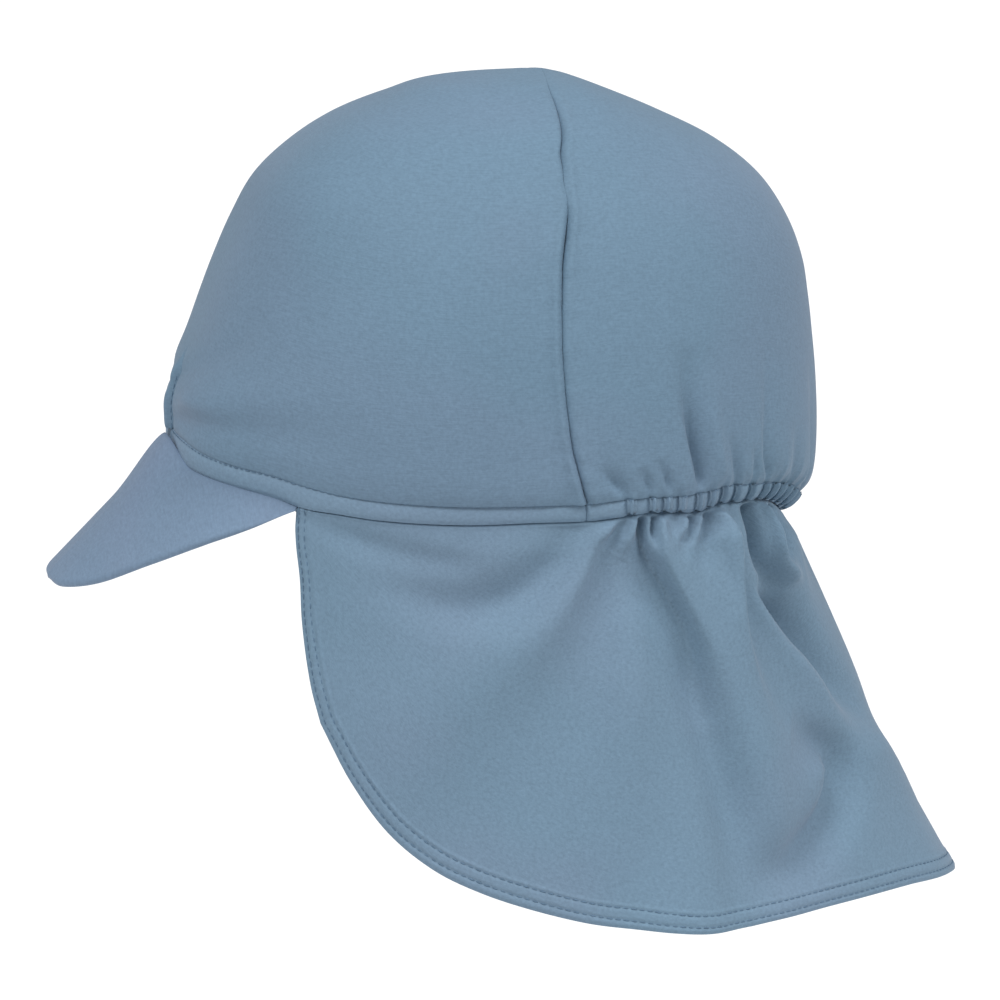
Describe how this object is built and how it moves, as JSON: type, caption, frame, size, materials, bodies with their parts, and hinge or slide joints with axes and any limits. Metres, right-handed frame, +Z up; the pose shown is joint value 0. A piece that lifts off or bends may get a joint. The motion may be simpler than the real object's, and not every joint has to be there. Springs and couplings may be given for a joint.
{
  "type": "sun cap with neck flap",
  "caption": "Close-fitting swim-knit sun cap with a short stiff peak, a gathered elastic back and a long neck flap.",
  "frame": {"origin": "middle of the head opening, on the plane of the hem, where the wearer's head carries the cap", "axes": "+Z up through the crown, the peak points to -Y, the wearer's left is +X"},
  "size_m": [0.176, 0.2739, 0.2443],
  "materials": {
    "crown_knit": "matte fine stretch knit",
    "band_knit": "matte fine stretch knit, top-stitched",
    "peak_knit": "matte fine stretch knit over a stiffener",
    "flap_knit": "matte fine stretch knit, twin-needle hem"
  },
  "bodies": {
    "root": {"crown_front": "crown_knit", "crown_back": "crown_knit", "hem_band": "band_knit", "elastic_casing": "band_knit", "peak": "peak_knit", "neck_flap": "flap_knit"}
  },
  "joints": []
}
